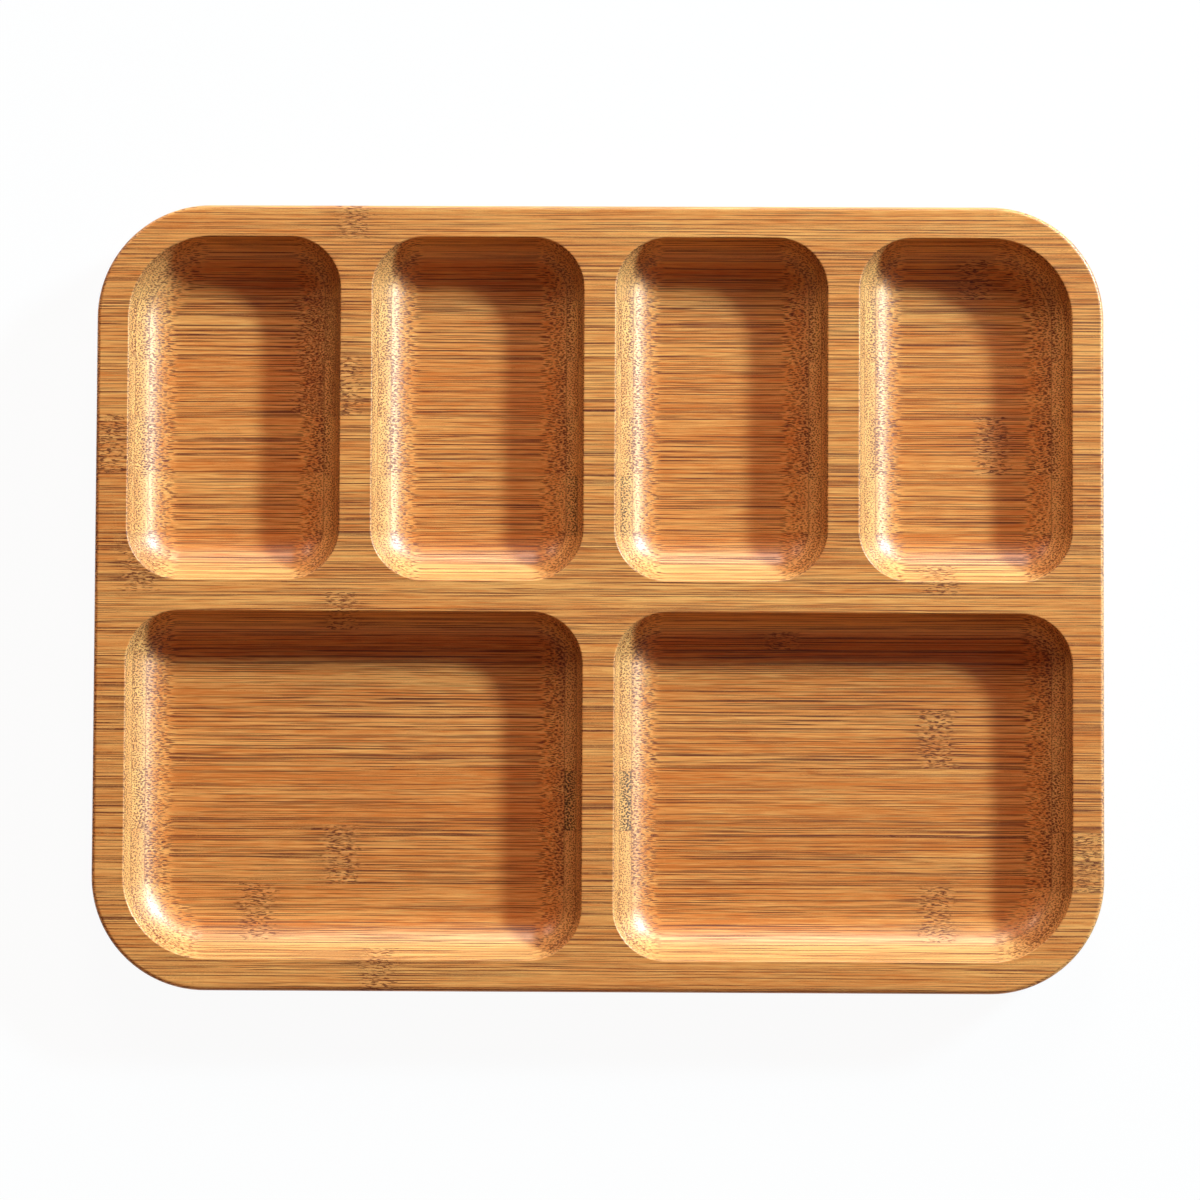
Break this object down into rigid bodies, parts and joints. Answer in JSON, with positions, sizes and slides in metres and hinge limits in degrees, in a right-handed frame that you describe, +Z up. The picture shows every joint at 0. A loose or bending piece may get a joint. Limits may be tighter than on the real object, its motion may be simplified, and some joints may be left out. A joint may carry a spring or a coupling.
{
  "type": "divided serving board",
  "caption": "Rounded rectangular bamboo serving board with a row of small coved wells above a row of large ones, for keeping meats, cheeses, fruit and dips apart.",
  "frame": {"origin": "centre of the underside, on the surface that the board lies on", "axes": "+X along the strips and the long side, +Y towards the row of small wells, +Z up out of the wells"},
  "size_m": [0.356, 0.2776, 0.02],
  "materials": {
    "face_bamboo": "steamed bamboo strips, milled, sanded and oiled to a satin sheen, with dark fibre flecks along the strips",
    "base_bamboo": "steamed bamboo strips, milled, sanded and oiled to a satin sheen, with dark fibre flecks along the strips"
  },
  "bodies": {
    "root": {"base_strip_01": "base_bamboo", "base_strip_02": "base_bamboo", "base_strip_03": "base_bamboo", "base_strip_04": "base_bamboo", "base_strip_05": "base_bamboo", "base_strip_06": "base_bamboo", "base_strip_07": "base_bamboo", "base_strip_08": "base_bamboo", "base_strip_09": "base_bamboo", "base_strip_10": "base_bamboo", "base_strip_11": "base_bamboo", "base_strip_12": "base_bamboo", "base_strip_13": "base_bamboo", "base_strip_14": "base_bamboo", "face_strip_01": "face_bamboo", "face_strip_02": "face_bamboo", "face_strip_03_divider_1": "face_bamboo", "face_strip_03_divider_2": "face_bamboo", "face_strip_03_divider_3": "face_bamboo", "face_strip_03_left_rim": "face_bamboo", "face_strip_03_right_rim": "face_bamboo", "face_strip_04_divider_1": "face_bamboo", "face_strip_04_divider_2": "face_bamboo", "face_strip_04_divider_3": "face_bamboo", "face_strip_04_left_rim": "face_bamboo", "face_strip_04_right_rim": "face_bamboo", "face_strip_05_divider_1": "face_bamboo", "face_strip_05_divider_2": "face_bamboo", "face_strip_05_divider_3": "face_bamboo", "face_strip_05_left_rim": "face_bamboo", "face_strip_05_right_rim": "face_bamboo", "face_strip_06_divider_1": "face_bamboo", "face_strip_06_divider_2": "face_bamboo", "face_strip_06_divider_3": "face_bamboo", "face_strip_06_left_rim": "face_bamboo", "face_strip_06_right_rim": "face_bamboo", "face_strip_07": "face_bamboo", "face_strip_08": "face_bamboo", "face_strip_09_divider": "face_bamboo", "face_strip_09_left_rim": "face_bamboo", "face_strip_09_right_rim": "face_bamboo", "face_strip_10_divider": "face_bamboo", "face_strip_10_left_rim": "face_bamboo", "face_strip_10_right_rim": "face_bamboo", "face_strip_11_divider": "face_bamboo", "face_strip_11_left_rim": "face_bamboo", "face_strip_11_right_rim": "face_bamboo", "face_strip_12_divider": "face_bamboo", "face_strip_12_left_rim": "face_bamboo", "face_strip_12_right_rim": "face_bamboo", "face_strip_13": "face_bamboo", "face_strip_14": "face_bamboo"}
  },
  "joints": []
}
